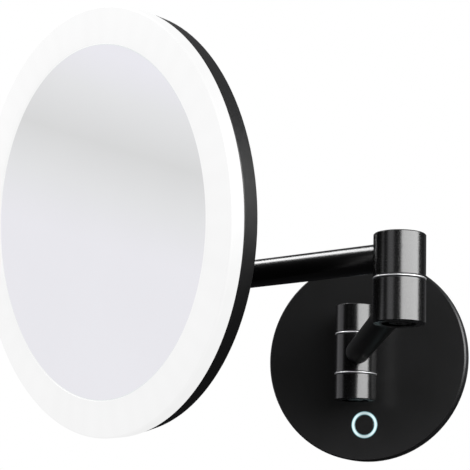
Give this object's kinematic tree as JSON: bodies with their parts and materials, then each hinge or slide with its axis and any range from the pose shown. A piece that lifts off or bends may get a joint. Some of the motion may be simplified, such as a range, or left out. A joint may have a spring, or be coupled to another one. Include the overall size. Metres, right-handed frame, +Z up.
{
  "type": "extendable shaving mirror",
  "caption": "Round lit mirror with a white light ring on a black two-part swing arm with barrel hinges and a round wall plate with a touch switch.",
  "frame": {"origin": "centre of the wall plate's screw circle, on the wall", "axes": "+Z up, +Y into the wall, -Y out into the room, +X to the right of a person facing the wall"},
  "size_m": [0.2653, 0.2485, 0.2128],
  "materials": {
    "zinc_steel": "zinc plated",
    "rubber": "matte",
    "satin_black": "satin powder coat",
    "satin_black_case": "satin black anodised",
    "bright_steel": "bright",
    "blackened_steel": "blackened",
    "polished_steel": "polished",
    "lit_acrylic": "lit from behind",
    "circuit_board": "solder mask",
    "black_plastic": "moulded",
    "led_chip": "phosphor",
    "bearing_plastic": "moulded",
    "white_plastic": "moulded",
    "lit_opal": "opal, lit from inside",
    "aluminium": "mill finish",
    "foam_tape": "foam",
    "mirror_glass": "silvered glass"
  },
  "bodies": {
    "wall_base": {"wall_bracket": "zinc_steel", "wall_seal": "rubber", "cable_grommet": "rubber", "cover_plate": "satin_black", "cover_screw": "blackened_steel", "touch_light_ring": "lit_acrylic", "touch_disc": "satin_black", "touch_board": "circuit_board", "touch_sensor": "black_plastic", "touch_leds": "led_chip", "led_driver": "black_plastic", "terminal_block": "black_plastic", "upper_wall_barrel": "satin_black", "lower_wall_barrel": "satin_black", "barrel_screws": "bright_steel", "wall_pin": "bright_steel", "wall_pin_screw": "blackened_steel", "wall_washers": "polished_steel"},
    "inner_arm": {"wall_mid_barrel": "satin_black", "wall_bushes": "bearing_plastic", "inner_arm_tube": "satin_black", "elbow_lower_barrel": "satin_black", "inner_arm_grub_screws": "blackened_steel", "elbow_pin": "bright_steel", "elbow_pin_screw": "blackened_steel", "elbow_circlip": "bright_steel", "elbow_washer": "polished_steel"},
    "outer_arm": {"elbow_upper_barrel": "satin_black", "elbow_cap": "satin_black", "elbow_bush": "bearing_plastic", "elbow_spring_washer": "bright_steel", "outer_arm_tube": "satin_black", "head_lower_barrel": "satin_black", "outer_arm_grub_screws": "blackened_steel", "head_pin": "bright_steel", "head_pin_screw": "blackened_steel", "head_circlip": "bright_steel", "head_washer": "polished_steel"},
    "head_yoke": {"yoke": "satin_black", "head_bush": "bearing_plastic", "head_spring_washer": "bright_steel", "tilt_pin": "bright_steel", "tilt_nut": "bright_steel", "tilt_washers": "bearing_plastic"},
    "mirror_head": {"head_mount": "satin_black", "tilt_bush": "bearing_plastic", "head_mount_screws": "blackened_steel", "mount_backing_plate": "zinc_steel", "rear_case": "satin_black_case", "case_seal": "rubber", "reflector_ring": "white_plastic", "led_board": "circuit_board", "leds": "led_chip", "diffuser_ring": "lit_opal", "mirror_carrier": "aluminium", "carrier_screws": "bright_steel", "glass_tape": "foam_tape", "mirror_glass": "mirror_glass"}
  },
  "joints": [
    {"name": "wall_swivel", "type": "hinge", "parent": "wall_base", "child": "inner_arm", "pos_m": [0, -0.026, 0], "axis": [0, 0, 1], "range_deg": [-50, 45]},
    {"name": "elbow_swivel", "type": "hinge", "parent": "inner_arm", "child": "outer_arm", "pos_m": [0.07536, -0.19932, 0], "axis": [0, 0, 1], "range_deg": [0, 250]},
    {"name": "head_swivel", "type": "hinge", "parent": "outer_arm", "child": "head_yoke", "pos_m": [-0.06111, -0.15498, 0.021], "axis": [0, 0, 1], "range_deg": [-120, 10]},
    {"name": "head_tilt", "type": "hinge", "parent": "head_yoke", "child": "mirror_head", "pos_m": [-0.06111, -0.15498, 0.0524], "axis": [0.8829, -0.4695, 0], "range_deg": [-28, 12]}
  ]
}
